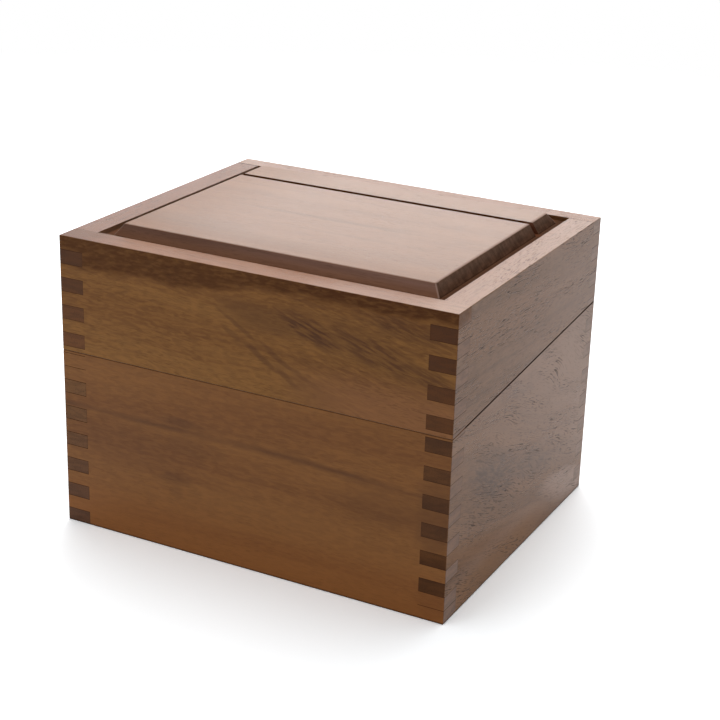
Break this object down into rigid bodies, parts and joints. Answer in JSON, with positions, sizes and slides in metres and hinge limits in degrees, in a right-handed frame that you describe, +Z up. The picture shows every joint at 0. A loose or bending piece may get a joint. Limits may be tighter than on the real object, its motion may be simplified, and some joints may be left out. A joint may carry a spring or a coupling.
{
  "type": "recipe card box",
  "caption": "Finger-jointed hardwood box for recipe cards, with a hinged lid cut off on a slant and a raised lid panel whose slot holds a card upright.",
  "frame": {"origin": "centre of the footprint, hinge barrels included, on the surface the box stands on", "axes": "+X to the right along the box's width, +Y to the back where the hinges are, +Z up"},
  "size_m": [0.1906, 0.1614, 0.1399],
  "materials": {
    "front_and_back_boards": "oiled hardwood, satin",
    "side_boards": "oiled hardwood, satin",
    "lid_panel_wood": "oiled hardwood, satin",
    "floor_wood": "oiled hardwood, satin",
    "hinge_brass": "satin brass"
  },
  "bodies": {
    "base": {"base_front_board": "front_and_back_boards", "base_back_board": "front_and_back_boards", "base_left_board": "side_boards", "base_right_board": "side_boards", "bottom_panel": "floor_wood", "left_hinge_base_leaf": "hinge_brass", "left_hinge_base_screws": "hinge_brass", "left_hinge_pin": "hinge_brass", "right_hinge_base_leaf": "hinge_brass", "right_hinge_base_screws": "hinge_brass", "right_hinge_pin": "hinge_brass"},
    "lid": {"lid_front_board": "front_and_back_boards", "lid_back_board": "front_and_back_boards", "lid_left_board": "side_boards", "lid_right_board": "side_boards", "lid_panel": "lid_panel_wood", "left_hinge_lid_leaf": "hinge_brass", "left_hinge_lid_screws": "hinge_brass", "right_hinge_lid_leaf": "hinge_brass", "right_hinge_lid_screws": "hinge_brass"}
  },
  "joints": [
    {"name": "lid_hinge", "type": "hinge", "parent": "base", "child": "lid", "pos_m": [0, 0.07862, 0.09618], "axis": [-1, 0, 0], "range_deg": [0, 180]}
  ]
}
